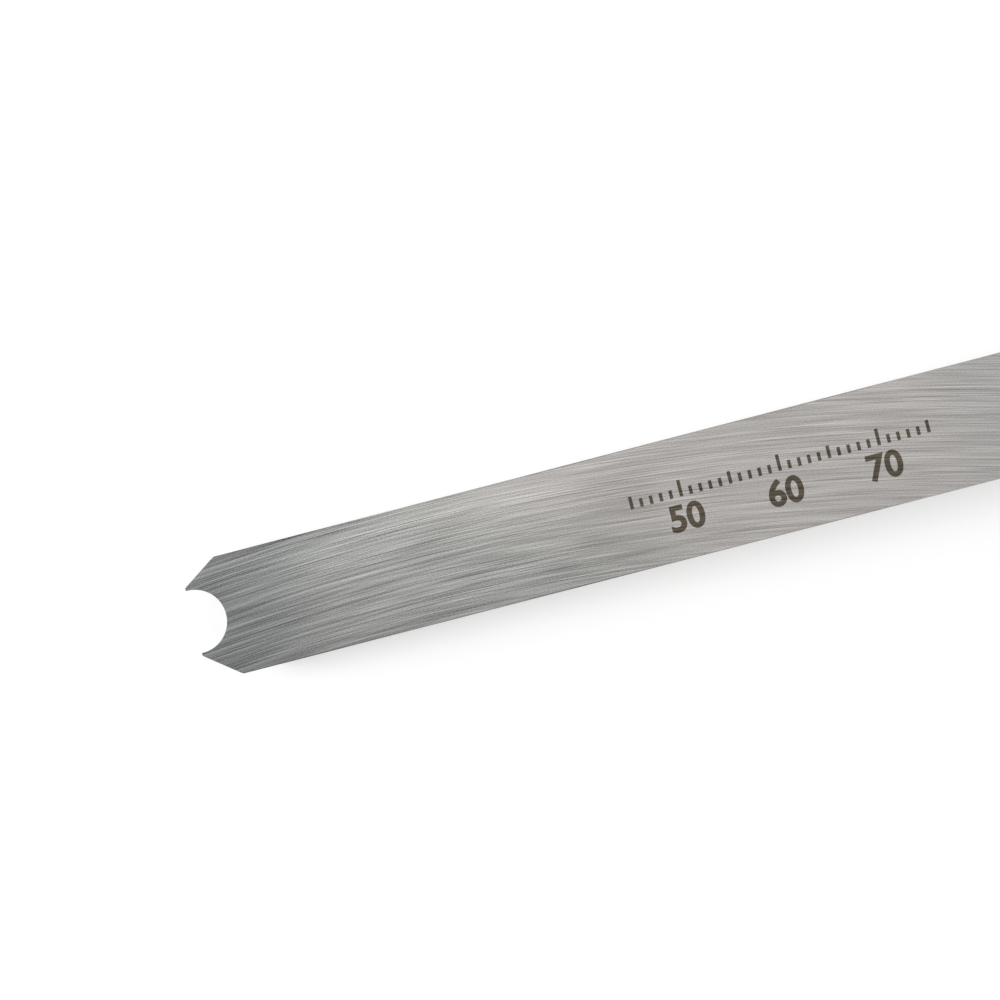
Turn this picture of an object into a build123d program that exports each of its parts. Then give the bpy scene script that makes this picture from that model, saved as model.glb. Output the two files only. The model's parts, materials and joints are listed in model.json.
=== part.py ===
from build123d import *
import os
from math import atan2, cos, degrees, radians, sin, tan

# A beading tool for wood turning, in millimetres and degrees.
# It is drawn along its own axis first: X runs from the points to the butt of the handle, with zero
# where the blade meets the handle, and the ground face with the cutting edge looks up along Z.
# At the end it is laid down as it rests on a bench, on its nose and on the belly of its handle.

# Nose, as it is ground on the top face
bead_diameter = 6.35        # the bead that the notch cuts, a quarter of an inch
notch_offset = 0.19         # the notch was ground a little nearer to one side of the bar
point_lead = 0.15           # the points stand this far ahead of the notch's centre
point_flat = 0.3            # width of each point, which was left a little blunt
shoulder_setback = 3.5      # from the points back to where the flanks meet the sides
relief_angle = 30.0         # notch, points and flanks lean back this much under the top face

# Bar
blade_width = 12.0
blade_thickness = 5.0
blade_length = 165.0        # from the points to the face that butts on the handle
edge_break = 0.12           # the long edges are stoned so that the bar slides on the tool rest

# Tang
tang_length = 62.0
tang_root_width = 8.5
tang_end_width = 5.0
tang_thickness = 4.4        # thinner than the bar, so that the shoulder stands out all round
tang_nose = 1.2             # the corners of its end are ground off, so that it finds the socket

# Ferrule
ferrule_length = 28.0
ferrule_diameter = 22.0
ferrule_wall = 1.5
ferrule_round = 1.0         # front outer edge
ferrule_deburr = 0.3        # rear outer edge

# Handle
handle_length = 254.0       # from the face that the blade butts on to the end of the butt
shoulder_step = 0.7         # the handle stands this much above the ferrule
shoulder_round = 1.6
belly_diameter = 33.0
ferrule_to_belly = 60.0
waist_diameter = 25.5
waist_to_end = 86.0
butt_diameter = 32.0
butt_to_end = 9.5           # from the fullest place of the butt to its end
butt_round = 6.0            # radius between the grip and the domed end
spigot_chamfer = 0.5

# Fits
ferrule_fit = 0.03          # on the radius, between the spigot and the ferrule
socket_fit = 0.1            # glue line on each side of the tang
socket_end_room = 2.0       # the socket is deeper than the tang is long

# Worked out from the sizes above
notch_radius = bead_diameter / 2
ferrule_radius = ferrule_diameter / 2
ferrule_bore_radius = ferrule_radius - ferrule_wall
spigot_radius = ferrule_bore_radius - ferrule_fit
shoulder_radius = ferrule_radius + shoulder_step
relief_run = blade_thickness * tan(radians(relief_angle))


def blade_outline():
    """The top face of the bar: notch, points and flanks in front, and square behind."""
    points_x = -blade_length
    notch_x = points_x + point_lead
    flanks_x = points_x + shoulder_setback
    half_width = blade_width / 2
    outer = notch_radius + point_flat
    with BuildSketch(Plane.XY.offset(blade_thickness / 2)) as outline:
        with BuildLine():
            ThreePointArc(
                (notch_x, notch_offset - notch_radius),
                (notch_x + notch_radius, notch_offset),
                (notch_x, notch_offset + notch_radius),
            )
            Polyline(
                (notch_x, notch_offset + notch_radius),
                (points_x, notch_offset + notch_radius),
                (points_x, notch_offset + outer),
                (flanks_x, half_width),
                (0, half_width),
                (0, -half_width),
                (flanks_x, -half_width),
                (points_x, notch_offset - outer),
                (points_x, notch_offset - notch_radius),
                (notch_x, notch_offset - notch_radius),
            )
        make_face()
    return outline.sketch


def tang_form(growth, extra_length):
    """The tapered tang, or its socket when it is grown by the clearances."""
    root = tang_root_width / 2 + growth
    end = tang_end_width / 2 + growth
    length = tang_length + extra_length
    with BuildSketch() as outline:
        with BuildLine():
            Polyline((0, root), (length, end), (length, -end), (0, -root), close=True)
        make_face()
    return extrude(outline.sketch, tang_thickness / 2 + growth, both=True)


def make_blade():
    """Bar, nose and tang, ground from one length of steel."""
    lean = Vector(sin(radians(relief_angle)), 0, -cos(radians(relief_angle)))
    bar = extrude(blade_outline(), blade_thickness / cos(radians(relief_angle)), dir=lean)
    bar = split(bar, Plane.YZ, keep=Keep.BOTTOM)
    long_edges = [edge for edge in bar.edges().filter_by(Axis.X) if edge.length > blade_length / 2]
    bar = chamfer(long_edges, edge_break)
    tang = tang_form(0, 0)
    tang = chamfer(tang.faces().sort_by(Axis.X)[-1].edges(), tang_nose)
    return bar + tang


def make_ferrule():
    """A length of tube, with its outer edge rounded in front and broken behind."""
    with BuildSketch() as section:
        with BuildLine():
            Polyline(
                (ferrule_round, ferrule_radius),
                (ferrule_length - ferrule_deburr, ferrule_radius),
                (ferrule_length, ferrule_radius - ferrule_deburr),
                (ferrule_length, ferrule_bore_radius),
                (0, ferrule_bore_radius),
                (0, ferrule_radius - ferrule_round),
            )
            TangentArc(
                (0, ferrule_radius - ferrule_round),
                (ferrule_round, ferrule_radius),
                tangent=(0, 1),
            )
        make_face()
    return revolve(section.sketch, Axis.X)


def level_curve(first, last):
    """Two arcs that meet halfway between places where the turned outline runs level."""
    middle = (first + last) / 2
    leaving = TangentArc(first, middle, tangent=(1, 0))
    arriving = TangentArc(last, middle, tangent=(-1, 0))
    return [leaving, arriving]


def grip_arcs():
    """The turned outline, from the shoulder over belly and waist to the fullest place of the butt."""
    shoulder = Vector(ferrule_length + shoulder_round, shoulder_radius)
    belly = Vector(ferrule_length + ferrule_to_belly, belly_diameter / 2)
    waist = Vector(handle_length - waist_to_end, waist_diameter / 2)
    butt = Vector(handle_length - butt_to_end, butt_diameter / 2)
    swell = TangentArc(belly, shoulder, tangent=(-1, 0))
    return [swell] + level_curve(belly, waist) + level_curve(waist, butt)


def butt_end_arcs():
    """The rounded rim of the butt and its flatter dome, tangent where they meet."""
    butt_radius = butt_diameter / 2
    room = butt_to_end - butt_round
    dome_radius = (butt_to_end**2 + butt_radius**2 - 2 * butt_radius * butt_round) / (2 * room)
    dome_centre = Vector(handle_length - dome_radius, 0)
    rim_centre = Vector(handle_length - butt_to_end, butt_radius - butt_round)
    join = dome_centre + (rim_centre - dome_centre).normalized() * dome_radius
    rim = TangentArc((handle_length - butt_to_end, butt_radius), join, tangent=(1, 0))
    dome = TangentArc((handle_length, 0), join, tangent=(0, 1))
    return [rim, dome]


def make_handle():
    """Spigot, shoulder, grip and domed butt turned in one, with the socket for the tang."""
    shoulder_foot = Vector(ferrule_length, shoulder_radius - shoulder_round)
    spigot = Polyline(
        (handle_length, 0),
        (0, 0),
        (0, spigot_radius - spigot_chamfer),
        (spigot_chamfer, spigot_radius),
        (ferrule_length, spigot_radius),
        shoulder_foot,
    )
    grip = grip_arcs()
    swell = grip[0]
    shoulder = TangentArc(swell @ 1, shoulder_foot, tangent=swell % 1)
    profile = make_face([spigot, shoulder] + grip + butt_end_arcs())
    return revolve(profile, Axis.X) - tang_form(socket_fit, socket_end_room)


def resting_tilt():
    """The angle between the tool's axis and a bench that touches its nose and its grip."""
    nose_x = relief_run - blade_length
    nose_drop = blade_thickness / 2
    steps = 200
    spots = [arc @ (step / steps) for arc in grip_arcs() for step in range(steps + 1)]
    return degrees(max(atan2(spot.Y - nose_drop, spot.X - nose_x) for spot in spots))


def lay_down(pieces):
    """Turn the tool to its resting tilt, and put the middle of its footprint at zero."""
    tilted = {name: Rot(0, -resting_tilt(), 0) * piece for name, piece in pieces.items()}
    box = Compound(list(tilted.values())).bounding_box()
    middle = box.center()
    return {name: Pos(-middle.X, -middle.Y, -box.min.Z) * piece for name, piece in tilted.items()}


pieces = {
    "blade": make_blade(),
    "ferrule": make_ferrule(),
    "handle": make_handle(),
}
os.makedirs("parts", exist_ok=True)
for name, piece in lay_down(pieces).items():
    export_step(piece, f"parts/{name}.step")
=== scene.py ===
# %% [markdown]
# # A beading tool on a white bench
# A beading tool is pushed into wood that turns on a lathe, and the half-round notch in its nose cuts
# a whole bead at once. Its blade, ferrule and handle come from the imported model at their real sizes,
# and nothing here moves or resizes them. This lesson gives them their finish, adds the marking that
# is etched on the blade, and then the bench, the light and the camera.

# %% Load the fixed model
import json
import math

import bmesh
import bpy
from mathutils import Matrix, Vector


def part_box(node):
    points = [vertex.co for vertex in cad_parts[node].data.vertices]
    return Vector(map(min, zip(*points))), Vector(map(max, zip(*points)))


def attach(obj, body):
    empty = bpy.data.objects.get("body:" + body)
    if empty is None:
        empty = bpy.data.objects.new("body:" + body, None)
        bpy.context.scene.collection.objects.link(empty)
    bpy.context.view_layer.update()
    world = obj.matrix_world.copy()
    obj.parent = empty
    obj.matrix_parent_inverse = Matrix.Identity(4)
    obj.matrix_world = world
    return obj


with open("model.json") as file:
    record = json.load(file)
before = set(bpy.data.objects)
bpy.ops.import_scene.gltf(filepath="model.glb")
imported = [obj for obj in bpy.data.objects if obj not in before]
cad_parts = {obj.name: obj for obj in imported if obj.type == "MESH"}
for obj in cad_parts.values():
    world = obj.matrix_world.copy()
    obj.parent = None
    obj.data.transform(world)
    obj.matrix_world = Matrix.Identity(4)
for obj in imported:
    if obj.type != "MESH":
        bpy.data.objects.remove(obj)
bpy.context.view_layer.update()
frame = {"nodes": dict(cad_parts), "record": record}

MM = 0.001
print("pieces:", sorted(frame["nodes"]))

# %% [markdown]
# ## The blade's own frame
# The tool rests on its nose and on the fullest part of its handle, so the blade climbs a little
# towards the handle. What is placed on the blade is easier to place in a frame that climbs with it.
# Such a frame could be typed in as numbers, but it would be wrong after the first change of the
# model, so it is read from the model. The ground top face is stated there as a mount, with a point
# and a normal, and the blade's box gives the points of the nose. The frame's zero is the centre of
# the notch, on that face.

# %% Find the centre of the notch and the slope of the blade
NOTCH_BEHIND_POINTS = 0.15 * MM
NOTCH_OFF_CENTRE = 0.19 * MM

mounts = {mount["name"]: mount for mount in frame["record"]["mounts"]}
face_point = Vector(mounts["honing_face"]["pos_m"])
face_normal = Vector(mounts["honing_face"]["axis"]).normalized()
climb = math.atan2(-face_normal.x, face_normal.z)
along = Vector((math.cos(climb), 0, math.sin(climb)))
points_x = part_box("blade")[0].x
points_middle = face_point + along * ((points_x - face_point.x) / along.x)
notch = points_middle + along * NOTCH_BEHIND_POINTS + Vector((0, NOTCH_OFF_CENTRE, 0))
blade_frame = Matrix.Translation(notch) @ Matrix.Rotation(-climb, 4, "Y")
print(f"the blade climbs {math.degrees(climb):.2f} degrees, notch centre in mm {notch / MM}")

# %% [markdown]
# ## The camera
# The photograph looks straight down on the blade, which runs from the lower left to the right-hand
# edge. A camera can be pushed about until the picture seems right, or it can be worked out. Here it
# is worked out from where the notch lies in the picture, how many pixels a millimetre has there and
# the angle of the blade, with a given height, which how much wider the bar looks towards the handle
# gives.

# %% Find what lies in the middle of the picture
PICTURE_PIXELS = 1000
NOTCH_PIXEL = (195.35, 621.75)
PIXELS_PER_MM = 10.06
BLADE_ANGLE = math.radians(14.55)

right = Vector((math.cos(BLADE_ANGLE), -math.sin(BLADE_ANGLE), 0))
up = Vector((math.sin(BLADE_ANGLE), math.cos(BLADE_ANGLE), 0))
notch_right = (NOTCH_PIXEL[0] - PICTURE_PIXELS / 2) / PIXELS_PER_MM * MM
notch_up = (PICTURE_PIXELS / 2 - NOTCH_PIXEL[1]) / PIXELS_PER_MM * MM
picture_middle = notch - right * notch_right - up * notch_up
print(f"middle of the picture in mm {picture_middle / MM}")

# %% Hang the camera above it
CAMERA_HEIGHT = 300.0 * MM
SENSOR_WIDTH = 36.0
SEEN_FROM = 0.01
SEEN_TO = 50.0

camera_data = bpy.data.cameras.new("camera")
camera_data.sensor_width = SENSOR_WIDTH
camera_data.lens = SENSOR_WIDTH * PIXELS_PER_MM * (CAMERA_HEIGHT / MM) / PICTURE_PIXELS
camera_data.clip_start = SEEN_FROM
camera_data.clip_end = SEEN_TO
camera = bpy.data.objects.new("camera", camera_data)
bpy.context.scene.collection.objects.link(camera)
bpy.context.scene.camera = camera
camera.location = picture_middle + Vector((0, 0, CAMERA_HEIGHT))
camera.rotation_euler = (0, 0, -BLADE_ANGLE)
print(f"lens {camera_data.lens:.1f} mm")

# %% [markdown]
# ## Nodes, and sums of nodes
# Finishes, the sky and Geometry Nodes are all trees of nodes. Wired one by one in a script, the
# wiring soon hides the thought, so two helpers keep it readable. A function adds any node: it sets
# the node's properties first, because they decide which sockets it has, and then gives each socket a
# value or a link. A class wraps a socket, so that a plain sum in Python adds the Math nodes that
# work it out at every point of a surface.

# %% Add any node
def add_node(tree, kind, settings=None, sockets=None):
    """A new node. Its sockets are given by name or number, each a value, a signal or a link."""
    made = tree.nodes.new(kind)
    for name, value in (settings or {}).items():
        setattr(made, name, value)
    for key, value in (sockets or {}).items():
        value = getattr(value, "socket", value)
        if isinstance(value, bpy.types.NodeSocket):
            tree.links.new(value, made.inputs[key])
        else:
            made.inputs[key].default_value = value
    return made


print("nodes can be added")


# %% Write Math nodes as sums
def maths(tree, operation, *values):
    """A Math node on signals and numbers, as a signal."""
    made = add_node(tree, "ShaderNodeMath", {"operation": operation}, dict(enumerate(values)))
    return Signal(tree, made.outputs[0])


class Signal:
    """A number that varies, behind one socket. Operators on it add Math nodes to its tree."""

    def __init__(self, tree, socket):
        self.tree = tree
        self.socket = socket

    def math(self, operation, *others):
        return maths(self.tree, operation, self, *others)

    def __add__(self, other):
        return maths(self.tree, "ADD", self, other)

    def __radd__(self, other):
        return maths(self.tree, "ADD", other, self)

    def __sub__(self, other):
        return maths(self.tree, "SUBTRACT", self, other)

    def __rsub__(self, other):
        return maths(self.tree, "SUBTRACT", other, self)

    def __mul__(self, other):
        return maths(self.tree, "MULTIPLY", self, other)

    def __rmul__(self, other):
        return maths(self.tree, "MULTIPLY", other, self)

    def __truediv__(self, other):
        return maths(self.tree, "DIVIDE", self, other)

    def __mod__(self, other):
        return maths(self.tree, "MODULO", self, other)

    def __pow__(self, other):
        return maths(self.tree, "POWER", self, other)

    def __neg__(self):
        return maths(self.tree, "MULTIPLY", self, -1.0)

    def __abs__(self):
        return maths(self.tree, "ABSOLUTE", self)


print("sums can be written")

# %% [markdown]
# ## Where a point lies on the blade
# Every mark on the tool follows the tool's own directions, so each finish starts from the surface
# point in the blade's frame, in millimetres. A Mapping node of the Texture type takes a place, a
# turn and a size and undoes them, which is just that. A second Mapping node turns the direction in
# which the surface looks, so that a finish can tell the flats from the sides and from the nose.

# %% A surface point and its facing, in the blade's frame
def parts_of(tree, vector):
    """The three parts of a vector, as signals."""
    split = add_node(tree, "ShaderNodeSeparateXYZ", sockets={0: vector})
    return [Signal(tree, socket) for socket in split.outputs]


def place_on_blade(tree):
    """How far behind the notch, how far to its side and how far above the top face, in mm."""
    spot = add_node(tree, "ShaderNodeTexCoord").outputs["Object"]
    undo = {"Vector": spot, "Location": notch, "Rotation": (0, -climb, 0), "Scale": (MM, MM, MM)}
    mapping = add_node(tree, "ShaderNodeMapping", {"vector_type": "TEXTURE"}, undo)
    return parts_of(tree, mapping.outputs[0])


def facing_on_blade(tree):
    """The direction in which the surface looks: along the blade, aside and up."""
    normal = add_node(tree, "ShaderNodeTexCoord").outputs["Normal"]
    turn = {"Vector": normal, "Rotation": (0, climb, 0)}
    mapping = add_node(tree, "ShaderNodeMapping", {"vector_type": "VECTOR"}, turn)
    return parts_of(tree, mapping.outputs[0])


print("surface points can be read")

# %% [markdown]
# ## Marks of the grinding wheel
# The flats of the bar were ground on a large wheel, which left long, fine, parallel arcs. They could
# come from an image of scratches, but that repeats and blurs. Noise that changes fast across the
# marks and slowly along them does neither. Long and short marks are added up, and where two more
# kinds of streak are strongest, they leave a dark or a bright scratch. Each lane starts a little
# further along than the one beside it, or else the ends of all marks would line up.

# %% Noise and steps
def noise(x, y, z, detail=0.0):
    """Smooth noise about 0, at a point whose first part is a signal."""
    point = add_node(x.tree, "ShaderNodeCombineXYZ", sockets={0: x, 1: y, 2: z}).outputs[0]
    sockets = {"Vector": point, "Scale": 1.0, "Detail": detail, "Roughness": 0.5}
    made = add_node(x.tree, "ShaderNodeTexNoise", sockets=sockets)
    return Signal(x.tree, made.outputs[0]) - 0.5


def ramp(value, start, end, step="SMOOTHSTEP"):
    """0 at start, 1 at end, and a smooth step between."""
    sockets = {"Value": value, "From Min": start, "From Max": end}
    made = add_node(value.tree, "ShaderNodeMapRange", {"interpolation_type": step}, sockets)
    return Signal(value.tree, made.outputs[0])


print("noise and ramps ready")

# %% Marks, scratches and speckle
# Each kind is (width in mm, length in mm, strength).
MARKS = ((0.075, 14.0, 0.85), (0.09, 5.0, 0.85))
DARK_AND_BRIGHT_SCRATCHES = ((0.11, 60.0, -0.17), (0.11, 30.0, 0.13))
SCRATCH_STEP = (0.13, 0.21)
STAGGER = 0.37
SEED_STEP = 7.3
SPECKLE_SIZE = 0.14
SPECKLE_STRENGTH = 0.54


def streaks(across, lengthwise, width, length, seed):
    lane = across / width
    return noise(lane, lengthwise / length + lane * STAGGER, seed)


def grinding(across, lengthwise, seed):
    """Light and dark about 0, at a point given in mm across and along the marks."""
    total = 0.0
    for width, length, strength in MARKS:
        seed = seed + SEED_STEP
        total = total + streaks(across, lengthwise, width, length, seed) * strength
    for width, length, strength in DARK_AND_BRIGHT_SCRATCHES:
        seed = seed + SEED_STEP
        streak = streaks(across, lengthwise, width, length, seed)
        total = total + ramp(streak, *SCRATCH_STEP) * strength
    return total


def speckle(x, y, z):
    """Specks as wide as they are long."""
    return noise(x / SPECKLE_SIZE, y / SPECKLE_SIZE, z / SPECKLE_SIZE) * SPECKLE_STRENGTH


print("kinds of mark:", len(MARKS) + len(DARK_AND_BRIGHT_SCRATCHES))

# %% [markdown]
# ## Which marks a face has
# On the two flats the marks are arcs round a centre far off to one side, so a point there is given
# in polar coordinates about that centre. The long sides were ground lengthwise, and the notch and
# the flanks of the nose from the top down. One material serves the whole blade, as one piece of
# steel, and picks the marks by where each face looks.

# %% Marks on the flats, the sides and the nose
ARC_CENTRE = (22.7, -226.0)
ARC_RADIUS = 226.0
NOSE_END = (3.4, 3.6)
FACING_ASIDE = (0.6, 0.7)
NOT_FACING_UP = (0.95, 0.85)
FLANK_SLANT = 0.4
SIDE_SEED = 40.0
NOSE_SEED = 80.0


def flat_marks(x, y):
    """Arcs of the wheel, by their radius and by the way along them."""
    off_x = x - ARC_CENTRE[0]
    off_y = y - ARC_CENTRE[1]
    across = (off_x * off_x + off_y * off_y) ** 0.5
    lengthwise = off_x.math("ARCTAN2", off_y) * ARC_RADIUS
    return grinding(across, lengthwise, 0.0)


def blade_marks(tree, x, y, z):
    """The marks of the face that a point lies on, with speckle."""
    facing = facing_on_blade(tree)
    on_side = ramp(abs(facing[1]), *FACING_ASIDE)
    on_nose = ramp(abs(facing[2]), *NOT_FACING_UP) * (1 - ramp(x, *NOSE_END))
    flat = flat_marks(x, y)
    side = grinding(z, x, SIDE_SEED)
    nose = grinding(y - x * FLANK_SLANT, z, NOSE_SEED)
    long_faces = flat + (side - flat) * on_side
    return long_faces + (nose - long_faces) * on_nose + speckle(x, y, z)


print("marks of the blade ready")

# %% [markdown]
# ## Painted reflection along the blade
# In the photograph the steel is darkest and a little green at the points, and gets lighter and
# warmer behind them, as polished steel does where it mirrors a room. Something dark beside the tool
# could be mirrored here too, but only for one camera. That mirrored light and shade is painted into
# the steel's colour instead, with long soft steps along the blade, weaker ones across it and two soft
# ovals, and so the painted reflection looks the same from anywhere. The grinding marks show most
# where it is darkest, and there some wider bands join them.

# %% How light the steel is under its painted reflection
# Zones are mm behind the notch, from where they begin to change to where they end. They place the
# steel's painted reflection, and where its marks show more.
NOSE_ZONE = (2.5, 27.0)
NOSE_POWER = 1.5
FRONT_ZONE = (24.0, 48.0)
FRONT_SLANT = 1.6
REAR_ZONE = (70.0, 84.0)
# Painted reflection: the steel is painted darker over the front of the bar and darker still at the
# nose.
BAR_LEVEL = 1.13
FRONT_PAINTED_SHADE = 0.24
NOSE_PAINTED_SHADE = 0.41


def steel_zones(x, y):
    """How much a point belongs to the nose, to the front of the bar and to its rear."""
    nose = (1 - ramp(x, *NOSE_ZONE, "LINEAR")) ** NOSE_POWER
    front = 1 - ramp(x + y * FRONT_SLANT, *FRONT_ZONE)
    rear = ramp(x, *REAR_ZONE)
    return nose, front, rear


print("the nose keeps", round(BAR_LEVEL - FRONT_PAINTED_SHADE - NOSE_PAINTED_SHADE, 2), "of the steel's light")

# %% Painted light and shade in parts of a zone
# Painted light and shade across the blade: lighter towards its upper edge and upper half, darker at
# the upper corner of the nose and at the lower rim near the front, lighter at the lower corner of the
# nose.
PAINTED_LIGHT_PER_MM_UP = 0.006
UPPER_HALF = (-1.0, 5.0)
UPPER_HALF_FADES = (30.0, 50.0)
UPPER_HALF_PAINTED_LIGHT = 0.15
UPPER_CORNER = (4.2, 5.8)
UPPER_CORNER_PAINTED_SHADE = 0.22
LOWER_CORNER = (3.0, 5.5)
LOWER_CORNER_PAINTED_LIGHT = 0.15
LOWER_RIM = (4.2, 5.8)
LOWER_RIM_FADES = (22.0, 32.0)
LOWER_RIM_PAINTED_SHADE = 0.18
# Each oval of painted reflection is (middle along, middle aside, half length, half width, strength),
# all but the last in mm.
PAINTED_REFLECTION_OVALS = ((16.0, 3.4, 10.0, 3.4, 0.18), (43.5, -0.5, 6.0, 6.0, -0.12))


def oval(x, y, middle_x, middle_y, half_length, half_width, strength):
    """A soft oval of painted light or, below 0, painted shade, strongest in its middle."""
    off_x = (x - middle_x) / half_length
    off_y = (y - middle_y) / half_width
    return (1 - ramp(off_x * off_x + off_y * off_y, 0.0, 1.0)) * strength


def steel_level(x, y, nose, front):
    """How light the steel is at a point under its painted reflection, before its marks."""
    level = 1 + y * PAINTED_LIGHT_PER_MM_UP
    level = level + (1 - ramp(x, *UPPER_HALF_FADES)) * ramp(y, *UPPER_HALF) * UPPER_HALF_PAINTED_LIGHT
    level = level - nose * ramp(y, *UPPER_CORNER) * UPPER_CORNER_PAINTED_SHADE
    level = level + nose * ramp(-y, *LOWER_CORNER) * LOWER_CORNER_PAINTED_LIGHT
    level = level - (1 - ramp(x, *LOWER_RIM_FADES)) * ramp(-y, *LOWER_RIM) * LOWER_RIM_PAINTED_SHADE
    for values in PAINTED_REFLECTION_OVALS:
        level = level + oval(x, y, *values)
    return level * (BAR_LEVEL - front * FRONT_PAINTED_SHADE - nose * NOSE_PAINTED_SHADE)


print("soft ovals:", len(PAINTED_REFLECTION_OVALS))

# %% How strongly the marks show
BAND_WIDTH = 1.8
BAND_LENGTH = 14.0
BAND_SLANT = 0.12
BAND_SEED = 3.3
BAND_STRENGTH = 0.65
MARKS_ON_BAR = 0.69
MARKS_MORE_IN_FRONT = 0.48


def nose_bands(x, y):
    """Wider light and dark bands about 0, which climb a little towards the handle."""
    return streaks(y - x * BAND_SLANT, x, BAND_WIDTH, BAND_LENGTH, BAND_SEED) * BAND_STRENGTH


print("marks on the bar", MARKS_ON_BAR, "and in front", round(MARKS_ON_BAR + MARKS_MORE_IN_FRONT, 2))

# %% [markdown]
# ## The finish of the blade
# Steel is a metal all over, so its colour is its mirror's colour. It is not bright, because fine
# marks scatter much of the light. The marks change three things together, as real ones do: how
# light the steel is, how rough, and, by a few thousandths of a millimetre, how high.

# %% Mix colours, and turn height into a normal
def paint(colour):
    """A colour socket takes a fourth number, the opacity."""
    return (*colour, 1.0) if isinstance(colour, tuple) else colour


def blend(amount, first, second):
    """The first colour at 0 and the second at 1."""
    sockets = {0: amount, 6: paint(first), 7: paint(second)}
    return add_node(amount.tree, "ShaderNodeMix", {"data_type": "RGBA"}, sockets).outputs[2]


def shaded(colour, amount):
    """A colour made lighter or darker."""
    sockets = {0: colour, "Scale": amount}
    return add_node(amount.tree, "ShaderNodeVectorMath", {"operation": "SCALE"}, sockets).outputs[0]


def relief(height, depth):
    """The normal of a surface whose height goes from 0 to 1 over a depth in mm."""
    sockets = {"Strength": 1.0, "Distance": depth * MM, "Height": height}
    return add_node(height.tree, "ShaderNodeBump", sockets=sockets).outputs[0]


print("colours can be mixed")


# %% Finish of the blade
# STEEL is the steel's own colour; the front, nose and rear colours add the tints of painted
# reflection.
STEEL = (0.418, 0.399, 0.384)
FRONT_PAINTED_REFLECTION = (0.401, 0.4025, 0.388)
NOSE_PAINTED_REFLECTION = (0.388, 0.402, 0.397)
REAR_PAINTED_REFLECTION = (0.395, 0.385, 0.375)
STEEL_ROUGHNESS = 0.38
MARKS_ROUGHER = 0.1
MARK_DEPTH = 0.002


def new_finish(name):
    """An empty material and its tree."""
    material = bpy.data.materials.new(name)
    material.use_nodes = True
    material.node_tree.nodes.clear()
    return material, material.node_tree


def end_finish(tree, sockets):
    """The shader that all parts of the tool use, and the output."""
    shader = add_node(tree, "ShaderNodeBsdfPrincipled", sockets=sockets)
    add_node(tree, "ShaderNodeOutputMaterial", sockets={"Surface": shader.outputs[0]})


def ground_steel():
    material, tree = new_finish("ground_steel")
    x, y, z = place_on_blade(tree)
    nose, front, rear = steel_zones(x, y)
    marks = blade_marks(tree, x, y, z)
    seen_marks = marks * (MARKS_ON_BAR + front * MARKS_MORE_IN_FRONT) + nose_bands(x, y) * nose
    # The tone and the colours of the front, nose and rear carry painted reflection; the marks in them
    # are the steel's own.
    tone = steel_level(x, y, nose, front) * (1 + seen_marks)
    colour = blend(front, STEEL, FRONT_PAINTED_REFLECTION)
    colour = blend(nose, colour, NOSE_PAINTED_REFLECTION)
    colour = blend(rear, colour, REAR_PAINTED_REFLECTION)
    end_finish(tree, {
        "Base Color": shaded(colour, tone),
        "Metallic": 1.0,
        "Roughness": STEEL_ROUGHNESS + marks * MARKS_ROUGHER,
        "Normal": relief(marks, MARK_DEPTH),
    })
    return material


blade = frame["nodes"]["blade"]
blade.material_slots[0].material = ground_steel()
print("blade:", blade.material_slots[0].material.name)

# %% [markdown]
# ## The etched marking
# Behind the nose the blade carries a dark marking, etched into the steel. Here it is a plain scale
# in millimetres from the points. It could be drawn into the steel's colour, but its lines would then
# only be as fine as the picture that the colour is baked to. So it is a skin of its own, a few
# thousandths of a millimetre proud of the face, in a brown film through which the grinding marks
# still show.

# %% Finish of the etching
ETCHED_BROWN = (0.078, 0.062, 0.041)
STEEL_THROUGH_FILM = 0.35
MARKS_IN_FILM = 2.0
CLOUD_SIZE = (0.7, 0.5)
CLOUDS_IN_FILM = 0.8
FILM_ROUGHNESS = 0.6
CLOUDS_ROUGHER = 0.2
FILM_DEPTH = 0.003


def etched_film():
    material, tree = new_finish("etched_film")
    x, y, z = place_on_blade(tree)
    marks = flat_marks(x, y)
    cloud = noise(x / CLOUD_SIZE[0], y / CLOUD_SIZE[1], z, detail=3.0)
    end_finish(tree, {
        "Base Color": shaded(ETCHED_BROWN, 1 + marks * MARKS_IN_FILM + cloud * CLOUDS_IN_FILM),
        "Metallic": STEEL_THROUGH_FILM,
        "Roughness": FILM_ROUGHNESS + cloud * CLOUDS_ROUGHER,
        "Normal": relief(marks, FILM_DEPTH),
    })
    return material


film = etched_film()
print("etching:", film.name)

# %% [markdown]
# ## From a live shape to a plain mesh
# The lines of the scale come from Geometry Nodes and its numbers from text. Both are live shapes,
# which are worked out anew whenever something changes. A finished piece is a plain mesh at the
# origin, with its place in its points. So each shape is evaluated once and moved, its loose seams
# are merged and its faces turned outwards.

# %% Settle a live shape
MERGE_DISTANCE = 0.0005 * MM


def close_seams(mesh):
    """Merges doubles and turns all faces outwards, and returns the number of open edges left."""
    welded = bmesh.new()
    welded.from_mesh(mesh)
    bmesh.ops.remove_doubles(welded, verts=welded.verts, dist=MERGE_DISTANCE)
    bmesh.ops.recalc_face_normals(welded, faces=welded.faces)
    open_edges = [edge for edge in welded.edges if not edge.is_manifold]
    welded.to_mesh(mesh)
    welded.free()
    return len(open_edges)


def settle(shape, place):
    """A plain mesh object in the place of a live one."""
    bpy.context.view_layer.update()
    graph = bpy.context.evaluated_depsgraph_get()
    name = shape.name
    mesh = bpy.data.meshes.new_from_object(shape.evaluated_get(graph))
    bpy.data.objects.remove(shape)
    mesh.name = name
    mesh.transform(place)
    open_edges = close_seams(mesh)
    piece = bpy.data.objects.new(name, mesh)
    bpy.context.scene.collection.objects.link(piece)
    print(f"{name}: {len(mesh.polygons)} faces, {open_edges} open edges")
    return piece


print("shapes can be settled")

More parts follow.
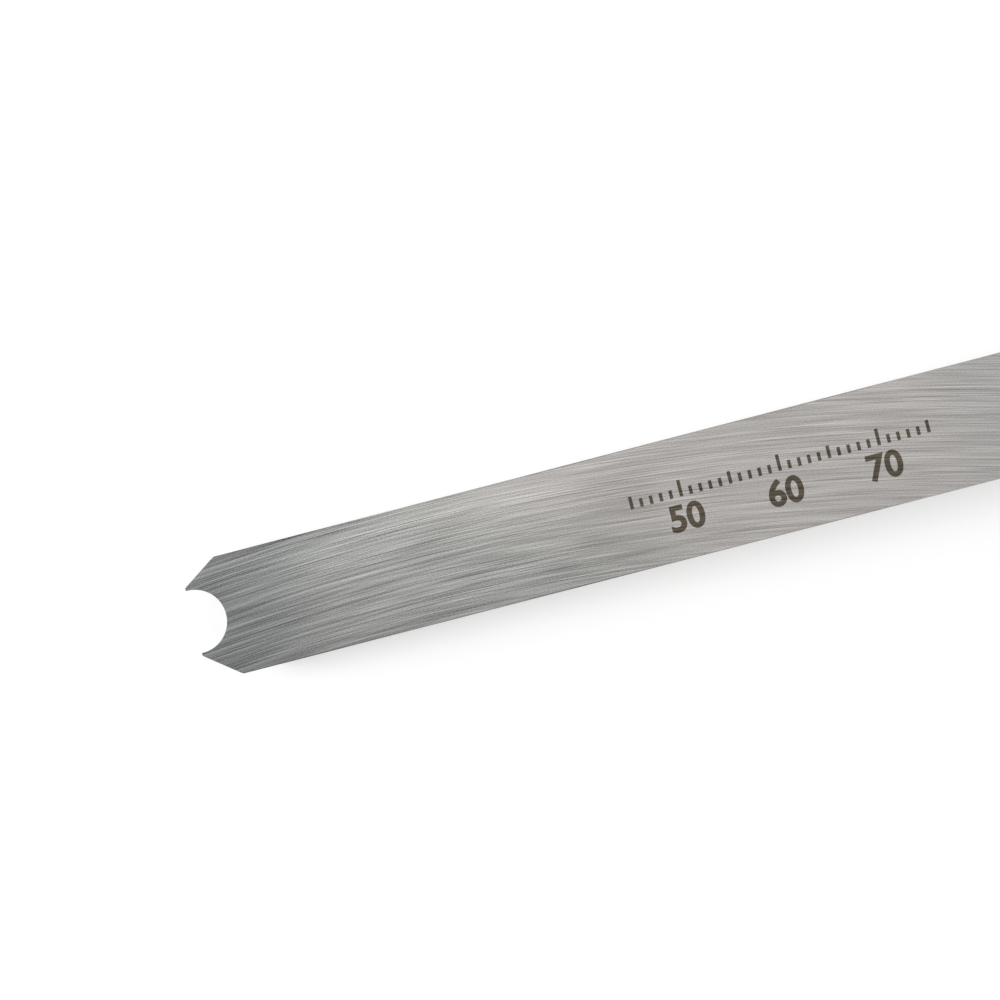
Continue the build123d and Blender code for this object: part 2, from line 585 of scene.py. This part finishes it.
# %% [markdown]
# ## The lines of the scale
# A scale is one line for each millimetre, longer at every fifth and longest at every tenth. Drawn
# one by one, a new length or spacing would mean drawing them all again. Geometry Nodes state the
# rule once: a row of points, a box on each, and a length that depends on the number that the line
# stands for. The same sums work there as in a finish.

# %% The tree that draws the lines
SCALE_INPUTS = ("First", "Lines", "Spacing", "Width", "Thickness", "Short", "Fifth", "Tenth")
WHOLE_NUMBERS = ("First", "Lines")


def line_length(tree, first, short, fifth, tenth):
    """The length of each line, from the number that it stands for."""
    index = Signal(tree, add_node(tree, "GeometryNodeInputIndex").outputs[0])
    number = index + first
    at_fifth = (number % 5.0).math("LESS_THAN", 0.5)
    at_tenth = (number % 10.0).math("LESS_THAN", 0.5)
    return short + at_fifth * (fifth - short) + at_tenth * (tenth - fifth)


def scale_tree(material):
    tree = bpy.data.node_groups.new("etched_scale", "GeometryNodeTree")
    tree.interface.new_socket("Geometry", in_out="OUTPUT", socket_type="NodeSocketGeometry")
    for name in SCALE_INPUTS:
        kind = "NodeSocketInt" if name in WHOLE_NUMBERS else "NodeSocketFloat"
        tree.interface.new_socket(name, in_out="INPUT", socket_type=kind)
    given = {socket.name: socket for socket in add_node(tree, "NodeGroupInput").outputs}
    first, lines, spacing, width, thickness, short, fifth, tenth = [
        Signal(tree, given[name]) for name in SCALE_INPUTS
    ]
    step = add_node(tree, "ShaderNodeCombineXYZ", sockets={0: spacing}).outputs[0]
    row = add_node(tree, "GeometryNodeMeshLine", sockets={"Count": lines, "Offset": step})
    points = add_node(tree, "GeometryNodeMeshToPoints", sockets={"Mesh": row.outputs[0]})
    length = line_length(tree, first, short, fifth, tenth)
    size = add_node(tree, "ShaderNodeCombineXYZ", sockets={0: width, 1: length, 2: thickness})
    box = add_node(tree, "GeometryNodeMeshCube")
    lift = {"Geometry": box.outputs[0], "Translation": (0, 0.5, 0)}
    standing = add_node(tree, "GeometryNodeTransform", sockets=lift)
    sockets = {"Points": points.outputs[0], "Instance": standing.outputs[0], "Scale": size.outputs[0]}
    placed = add_node(tree, "GeometryNodeInstanceOnPoints", sockets=sockets)
    real = add_node(tree, "GeometryNodeRealizeInstances", sockets={0: placed.outputs[0]})
    sockets = {"Geometry": real.outputs[0], "Material": material}
    painted = add_node(tree, "GeometryNodeSetMaterial", sockets=sockets)
    add_node(tree, "NodeGroupOutput", sockets={0: painted.outputs[0]})
    return tree


line_tree = scale_tree(film)
print("inputs of the scale:", ", ".join(SCALE_INPUTS))

# %% Draw the lines on the blade
SCALE_START = 45
SCALE_END = 75
ETCH_THICKNESS = 0.02 * MM
ETCH_PROUD = 0.008 * MM
LINE_FOOT = 0.15 * MM
LINE_SIZES = {
    "Spacing": 1.0 * MM,
    "Width": 0.34 * MM,
    "Thickness": ETCH_THICKNESS,
    "Short": 0.85 * MM,
    "Fifth": 1.25 * MM,
    "Tenth": 1.65 * MM,
}

from_notch = Vector((SCALE_START * MM - NOTCH_BEHIND_POINTS, -NOTCH_OFF_CENTRE, 0))
scale_start = blade_frame @ Matrix.Translation(from_notch)
skin = Vector((0, 0, ETCH_PROUD - ETCH_THICKNESS / 2))


def on_scale(mm_along, aside):
    """The place on the blade beside a whole millimetre of the scale."""
    return scale_start @ Matrix.Translation(skin + Vector((mm_along * MM, aside, 0)))


line_shape = bpy.data.objects.new("scale_lines", bpy.data.meshes.new("scale_lines"))
bpy.context.scene.collection.objects.link(line_shape)
modifier = line_shape.modifiers.new("scale", "NODES")
modifier.node_group = line_tree
whole_numbers = {"First": SCALE_START, "Lines": SCALE_END - SCALE_START + 1}
for item in line_tree.interface.items_tree:
    if item.in_out == "INPUT":
        modifier[item.identifier] = {**whole_numbers, **LINE_SIZES}[item.name]
scale_lines = settle(line_shape, on_scale(0, LINE_FOOT))

# %% [markdown]
# ## The numbers of the scale
# Each tenth line has its number below it. Blender's own text object draws them in its built-in font,
# with a thickness and, to match the bold marking of the photograph, a little extra weight. Numbers
# modelled by hand would take long and look no better at this size.

# %% Write the numbers
NUMBER_HEIGHT = 3.6 * MM
NUMBER_TOP = -0.25 * MM
NUMBER_WEIGHT = 0.03
CURVE_STEPS = 6


def number_piece(value):
    text = bpy.data.curves.new(f"number_{value}", "FONT")
    text.body = str(value)
    text.size = NUMBER_HEIGHT
    text.align_x = "CENTER"
    text.align_y = "TOP"
    text.extrude = ETCH_THICKNESS / 2
    text.offset = NUMBER_WEIGHT * NUMBER_HEIGHT
    text.resolution_u = CURVE_STEPS
    text.materials.append(film)
    shape = bpy.data.objects.new(f"number_{value}", text)
    bpy.context.scene.collection.objects.link(shape)
    return settle(shape, on_scale(value - SCALE_START, NUMBER_TOP))


tenths = [value for value in range(SCALE_START, SCALE_END) if value % 10 == 0]
for piece in [scale_lines] + [number_piece(value) for value in tenths]:
    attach(piece, "root")

# %% [markdown]
# ## The ferrule
# The ferrule is a brass tube that keeps the handle from splitting. It was polished while it turned,
# so its fine lines run round it. Anisotropic gloss is the usual way to show that, but it can't be
# baked into a model. Noise that changes fast along the tool and slowly round it gives the same lines
# in colour, roughness and height.

# %% Finish of the ferrule
BLADE_THICKNESS = 5.0
BRASS = (0.74, 0.54, 0.245)
LINE_SPACING = 0.12
LINES_CHANGE_ROUND = 0.8
LINES_IN_BRASS = 0.25
LINES_ROUGHER = 0.12
BRASS_CLOUD = 6.0
CLOUDS_IN_BRASS = 0.12
BRASS_CLOUDS_ROUGHER = 0.1
BRASS_ROUGHNESS = 0.27
BRASS_LINE_DEPTH = 0.004


def turned_brass():
    material, tree = new_finish("turned_brass")
    x, y, z = place_on_blade(tree)
    above_axis = z + BLADE_THICKNESS / 2
    round_the_tool = y.math("ARCTAN2", above_axis)
    lines = noise(x / LINE_SPACING, round_the_tool * LINES_CHANGE_ROUND, 0.0, detail=2.0)
    cloud = noise(x / BRASS_CLOUD, y / BRASS_CLOUD, z / BRASS_CLOUD, detail=2.0)
    end_finish(tree, {
        "Base Color": shaded(BRASS, 1 + lines * LINES_IN_BRASS + cloud * CLOUDS_IN_BRASS),
        "Metallic": 1.0,
        "Roughness": BRASS_ROUGHNESS + lines * LINES_ROUGHER + cloud * BRASS_CLOUDS_ROUGHER,
        "Normal": relief(lines, BRASS_LINE_DEPTH),
    })
    return material


ferrule = frame["nodes"]["ferrule"]
ferrule.material_slots[0].material = turned_brass()
print("ferrule:", ferrule.material_slots[0].material.name)

# %% [markdown]
# ## The handle
# The handle is ash, turned from a square that was sawn out beside the heart of the tree. Its yearly
# rings are tubes round that heart. Where the handle swells and thins it cuts through them, and that
# draws the long pointed ovals that everyone knows from wood. An image wrapped round the handle would
# show a seam and no end grain. Rings that are worked out in space are cut by the shape itself, as in
# the real piece, on the sides and on the butt alike.

# %% Rings and pores of the ash
HEART = (-46.0, -14.0)
HEART_LEAN = 0.03
RING_WIDTH = 2.3
EARLY_END = 0.42
LATE_END = 0.93
WANDER_SIZE = (60.0, 25.0)
WANDER = 1.6
PORE_SIZE = (2.6, 0.16)
PORE_STEP = (0.06, 0.16)


def ash_rings(x, y, z):
    """1 in the open early wood of a ring, falling to 0 in its dense late wood."""
    aside = y - HEART[0] + x * HEART_LEAN
    under = z - HEART[1]
    length, width = WANDER_SIZE
    wander = noise(x / length, y / width, z / width, detail=1.0) * WANDER
    rings = (aside * aside + under * under) ** 0.5 / RING_WIDTH + wander
    part = rings % 1.0
    return 1 - ramp(part, 0.0, EARLY_END) + ramp(part, LATE_END, 1.0)


def ash_pores(x, y, z, early):
    """Short dark pores, drawn out along the wood, where it is open."""
    length, width = PORE_SIZE
    return ramp(noise(x / length, y / width, z / width, detail=1.0), *PORE_STEP) * early


print("the heart of the tree lies", round(math.hypot(*HEART)), "mm from the tool's axis")

# %% Finish of the handle
LATE_WOOD = (0.745, 0.552, 0.323)
EARLY_WOOD = (0.617, 0.402, 0.195)
PORE_BROWN = (0.305, 0.15, 0.054)
PORES_DARKEN = 0.55
PORES_ROUGHER = 0.15
FIBRE_SIZE = (12.0, 0.5)
FIBRES_IN_ASH = 0.2
FIBRE_HEIGHT = 0.2
ASH_ROUGHNESS = 0.42
LACQUER = 0.15
LACQUER_ROUGHNESS = 0.3
PORE_DEPTH = 0.03


def turned_ash():
    material, tree = new_finish("turned_ash")
    x, y, z = place_on_blade(tree)
    early = ash_rings(x, y, z)
    pores = ash_pores(x, y, z, early)
    length, width = FIBRE_SIZE
    fibre = noise(x / length, y / width, z / width, detail=3.0)
    colour = blend(pores * PORES_DARKEN, blend(early, LATE_WOOD, EARLY_WOOD), PORE_BROWN)
    end_finish(tree, {
        "Base Color": shaded(colour, 1 + fibre * FIBRES_IN_ASH),
        "Roughness": ASH_ROUGHNESS + pores * PORES_ROUGHER,
        "Coat Weight": LACQUER,
        "Coat Roughness": LACQUER_ROUGHNESS,
        "Normal": relief(1 - pores + fibre * FIBRE_HEIGHT, PORE_DEPTH),
    })
    return material


handle = frame["nodes"]["handle"]
handle.material_slots[0].material = turned_ash()
print("handle:", handle.material_slots[0].material.name)

# %% [markdown]
# ## The bench
# In the photograph the background is pure white, and only a soft, pale shadow shows where the blade
# lies. More lamps would make a floor that white, but they would bleach the tool too. So the bench
# glows a little, and only for the camera and for mirrored rays, which light nothing else. On top of
# that it takes light as any matt surface does, and so it keeps its shadow.

# %% Lay the bench
BENCH_HALF = 4.0
BENCH_GREY = 0.64
BENCH_GLOW = 0.52


def white_bench():
    material, tree = new_finish("white_bench")
    rays = add_node(tree, "ShaderNodeLightPath").outputs
    seen = Signal(tree, rays["Is Camera Ray"])
    seen = seen.math("MAXIMUM", Signal(tree, rays["Is Glossy Ray"]))
    seen = seen.math("MAXIMUM", Signal(tree, rays["Is Transmission Ray"]))
    matt = add_node(tree, "ShaderNodeBsdfDiffuse", sockets={"Color": (BENCH_GREY,) * 3 + (1.0,)})
    glow = add_node(tree, "ShaderNodeEmission", sockets={"Strength": seen * BENCH_GLOW})
    both = add_node(tree, "ShaderNodeAddShader", sockets={0: matt.outputs[0], 1: glow.outputs[0]})
    add_node(tree, "ShaderNodeOutputMaterial", sockets={"Surface": both.outputs[0]})
    return material


corners = [(x * BENCH_HALF, y * BENCH_HALF, 0) for x, y in ((-1, -1), (1, -1), (1, 1), (-1, 1))]
bench_mesh = bpy.data.meshes.new("bench")
bench_mesh.from_pydata(corners, [], [(0, 1, 2, 3)])
bench_mesh.materials.append(white_bench())
bench = bpy.data.objects.new("bench", bench_mesh)
bpy.context.scene.collection.objects.link(bench)
print(f"bench: {2 * BENCH_HALF:.0f} m square")

# %% [markdown]
# ## The sky of the studio
# A white studio lights everything a little from all sides. The world does that, at less than half of
# full strength, so that the lamp still makes a shadow. Mirrored rays see it brighter, or else metal
# would look black, and a little dimmer near the horizon, which gives rounded metal its shading.

# %% Light from all sides
AMBIENT = 0.45
HORIZON = 0.6
HORIZON_END = 0.7

world = bpy.data.worlds.new("studio")
bpy.context.scene.world = world
world.use_nodes = True
sky = world.node_tree
sky.nodes.clear()
rays = add_node(sky, "ShaderNodeLightPath").outputs
direction = add_node(sky, "ShaderNodeTexCoord").outputs["Generated"]
height = parts_of(sky, direction)[2]
mirrored = HORIZON + ramp(height, 0.0, HORIZON_END) * (1 - HORIZON)
by_mirror = Signal(sky, rays["Is Glossy Ray"]) * (mirrored - AMBIENT)
by_camera = Signal(sky, rays["Is Camera Ray"]) * (1 - AMBIENT)
strength = AMBIENT + by_mirror + by_camera
background = add_node(sky, "ShaderNodeBackground", sockets={"Strength": strength})
add_node(sky, "ShaderNodeOutputWorld", sockets={"Surface": background.outputs[0]})
print("sky:", AMBIENT, "of full light")

# %% [markdown]
# ## The lamp
# The shadow shows where the lamp was: it lies only on the lower side of the blade, starts a little
# behind the nose, and has a soft edge. So the lamp is a large softbox, low beyond the nose and
# slightly to the upper side. Its size is stated by the angles that it fills, which is what makes a
# shadow soft, and its power is worked out from the light that should arrive on the bench.

# %% Hang a softbox
LAMP_HEIGHT = 1.6
LAMP_SLOPE = (-1.8, 0.35, 1.0)
HALF_ANGLE_ALONG = math.radians(28)
HALF_ANGLE_ACROSS = math.radians(12)
LAMP_LEVEL = 0.55

towards_lamp = Vector(LAMP_SLOPE) * LAMP_HEIGHT
distance = towards_lamp.length
aim = towards_lamp.normalized()
along_lamp = Vector((0, 1, 0)).cross(aim).normalized()
across_lamp = aim.cross(along_lamp)

lamp_data = bpy.data.lights.new("softbox", "AREA")
lamp_data.shape = "RECTANGLE"
lamp_data.size = 2 * distance * math.tan(HALF_ANGLE_ALONG)
lamp_data.size_y = 2 * distance * math.tan(HALF_ANGLE_ACROSS)
lamp_data.energy = LAMP_LEVEL * math.pi**2 * distance**2 / aim.z
lamp = bpy.data.objects.new("softbox", lamp_data)
bpy.context.scene.collection.objects.link(lamp)
lamp.location = Vector((notch.x, 0, 0)) + towards_lamp
lamp.rotation_euler = Matrix((along_lamp, across_lamp, aim)).transposed().to_euler()
print(f"softbox: {lamp_data.size:.1f} by {lamp_data.size_y:.1f} m, {distance:.1f} m away")

# %% [markdown]
# ## The view
# The Standard view shows a colour as it was written, where Blender's default would soften it.

# %% Set the Standard view
bpy.context.scene.view_settings.view_transform = "Standard"
